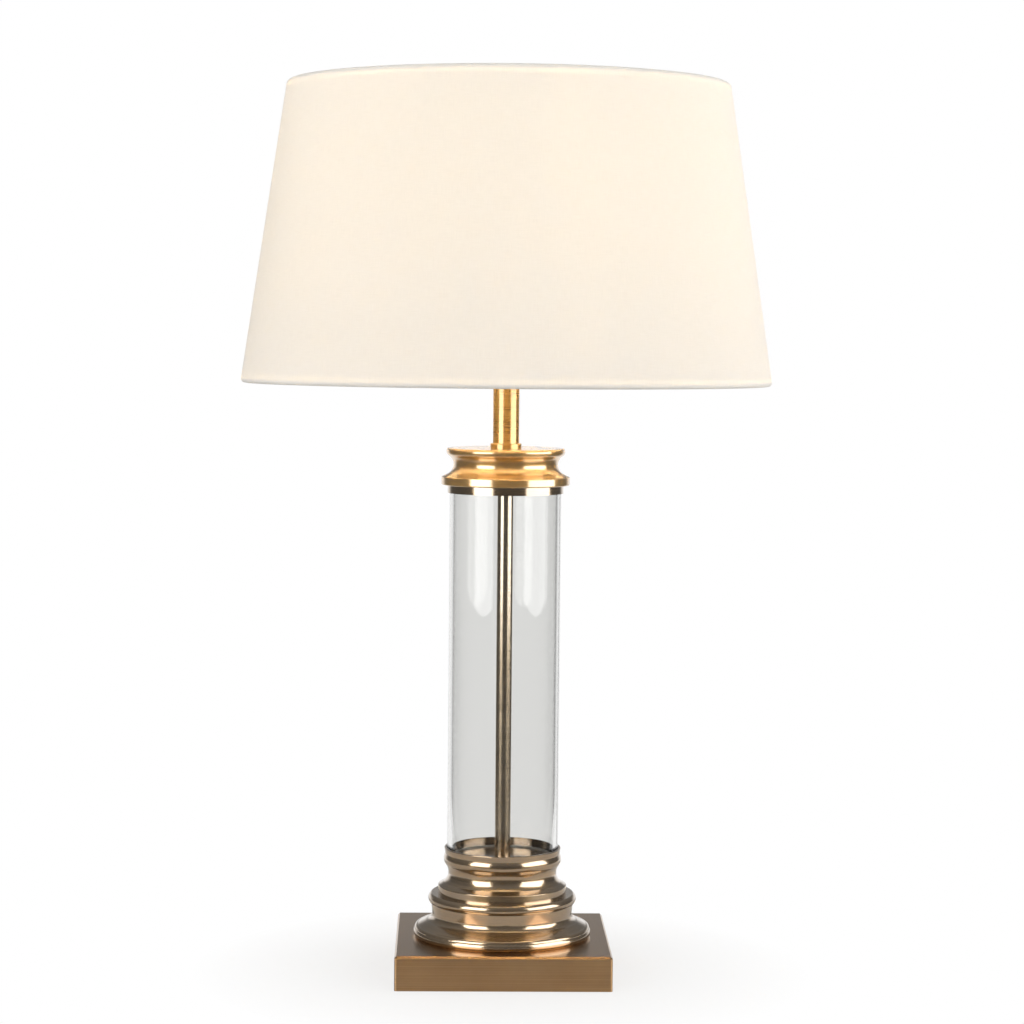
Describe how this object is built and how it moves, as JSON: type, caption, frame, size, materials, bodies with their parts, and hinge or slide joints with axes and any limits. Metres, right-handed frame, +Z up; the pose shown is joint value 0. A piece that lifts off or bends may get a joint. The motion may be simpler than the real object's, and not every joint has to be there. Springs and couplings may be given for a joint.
{
  "type": "column table lamp",
  "caption": "Table lamp with a square brass plinth, a clear glass column round a thin stem, a slim neck and a tapered fabric drum shade.",
  "frame": {"origin": "on the table under the column's axis, at the underside of the base pad", "axes": "+Z up along the column, -Y to the front, +Y to the back wall with the cord inlet, +X to the switch knob"},
  "size_m": [0.33, 0.33, 0.5556],
  "materials": {
    "black_felt": "dense wool felt",
    "plinth_brass": "antique, satin, straight brushed",
    "ballast_iron": "as cast, black dipped",
    "black_plastic": "moulded",
    "zinc_steel": "bright zinc",
    "turned_brass": "antique, satin, turned",
    "stem_brass": "antique, satin",
    "neck_brass": "antique, satin, turned",
    "contact_brass": "bright",
    "clear_glass": "clear, polished",
    "clear_gasket": "translucent silicone",
    "white_ceramic": "glazed",
    "shade_cloth": "fine plain weave, off-white",
    "shade_liner": "white stiff sheet",
    "white_wire": "white powder coat",
    "opal_glass": "opal, lit",
    "black_glass": "black insulating glass",
    "stem_glass": "clear",
    "cap_nickel": "nickel plated",
    "filament": "phosphor coated rods on a metal frame"
  },
  "bodies": {
    "stand": {"base_pad": "black_felt", "plinth_shell": "plinth_brass", "ballast": "ballast_iron", "cord_inlet_bush": "black_plastic", "stem_washer": "zinc_steel", "stem_lock_washer": "zinc_steel", "stem_nut": "zinc_steel", "lower_moulding": "turned_brass", "middle_ring": "turned_brass", "upper_moulding": "turned_brass", "glass_cup": "turned_brass", "lower_gasket": "clear_gasket", "glass_column": "clear_glass", "stem_rod": "stem_brass", "upper_gasket": "clear_gasket", "cap_cup": "turned_brass", "cap_moulding": "turned_brass", "neck_collar": "neck_brass", "neck_tube": "neck_brass", "holder_dome": "neck_brass", "holder_grub_screw": "zinc_steel", "holder_insert": "white_ceramic", "terminal_screws": "contact_brass", "holder_skirt": "black_plastic", "screw_shell": "contact_brass", "centre_contact": "contact_brass"},
    "shade": {"shade_cover": "shade_cloth", "shade_liner": "shade_liner", "seam_tape": "shade_liner", "spider": "white_wire", "bottom_ring": "white_wire", "top_ring": "white_wire", "bottom_hem": "shade_cloth", "top_hem": "shade_cloth"},
    "shade_ring": {"shade_ring": "neck_brass"},
    "bulb": {"bulb_envelope": "opal_glass", "bulb_cap": "cap_nickel", "bulb_insulator": "black_glass", "bulb_tip_contact": "cap_nickel", "bulb_stem": "stem_glass", "filament_cluster": "filament"},
    "switch": {"switch_shaft": "zinc_steel", "switch_knob": "neck_brass"}
  },
  "joints": [
    {"name": "shade_turn", "type": "hinge", "parent": "stand", "child": "shade", "pos_m": [0, 0, 0.404], "axis": [0, 0, 1], "continuous": true},
    {"name": "shade_ring_turn", "type": "hinge", "parent": "stand", "child": "shade_ring", "pos_m": [0, 0, 0.4095], "axis": [0, 0, 1], "range_deg": [0, 1170]},
    {"name": "bulb_turn", "type": "hinge", "parent": "stand", "child": "bulb", "pos_m": [0, 0, 0.42], "axis": [0, 0, 1], "range_deg": [0, 1260]},
    {"name": "switch_turn", "type": "hinge", "parent": "stand", "child": "switch", "pos_m": [0.02, 0, 0.392], "axis": [1, 0, 0], "continuous": true}
  ]
}
